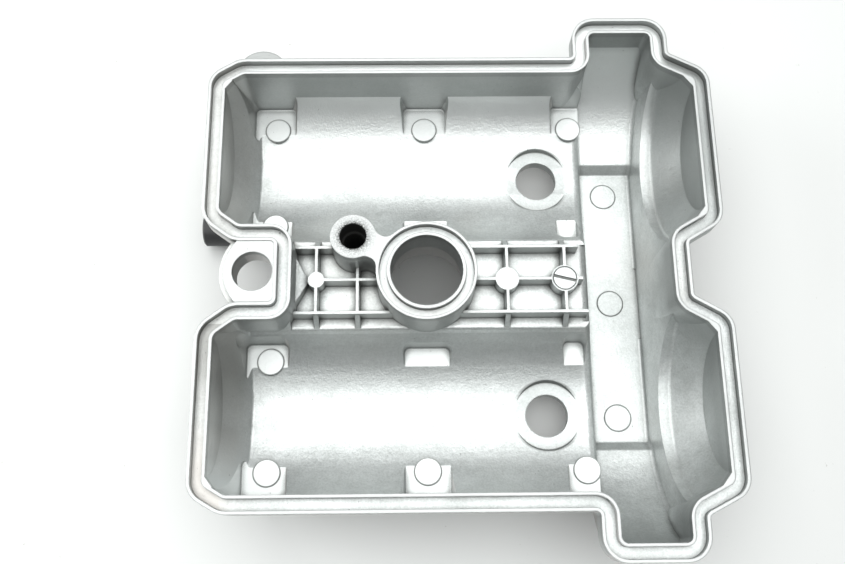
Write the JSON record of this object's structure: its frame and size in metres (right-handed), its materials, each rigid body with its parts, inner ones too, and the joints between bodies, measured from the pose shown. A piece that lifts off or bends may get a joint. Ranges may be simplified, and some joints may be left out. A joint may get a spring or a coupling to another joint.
{
  "type": "engine valve cover",
  "caption": "Die-cast valve cover of a twin-cam engine, lying on its crown, with its gasket groove, cam domes, chain channel, plug bore and an air cap with a spout.",
  "frame": {"origin": "on the spark plug bore's axis, in the gasket plane", "axes": "+Z out of the open cavity, +X along the camshafts towards the cam chain, +Y across the camshafts"},
  "size_m": [0.2235, 0.2276, 0.0605],
  "materials": {
    "casting": "as cast, bare inside, machined lips and seats, painted crown side",
    "cap": "moulded, fine grain",
    "screws": "zinc plated",
    "reed_body": "machined",
    "spring_steel": "ground"
  },
  "bodies": {
    "root": {"cover_casting": "casting", "reed_cap": "cap", "cap_screw_low": "screws", "cap_screw_high": "screws", "reed_frame": "reed_body", "reed_petal": "spring_steel", "reed_stop": "spring_steel", "reed_screw": "screws"}
  },
  "joints": []
}
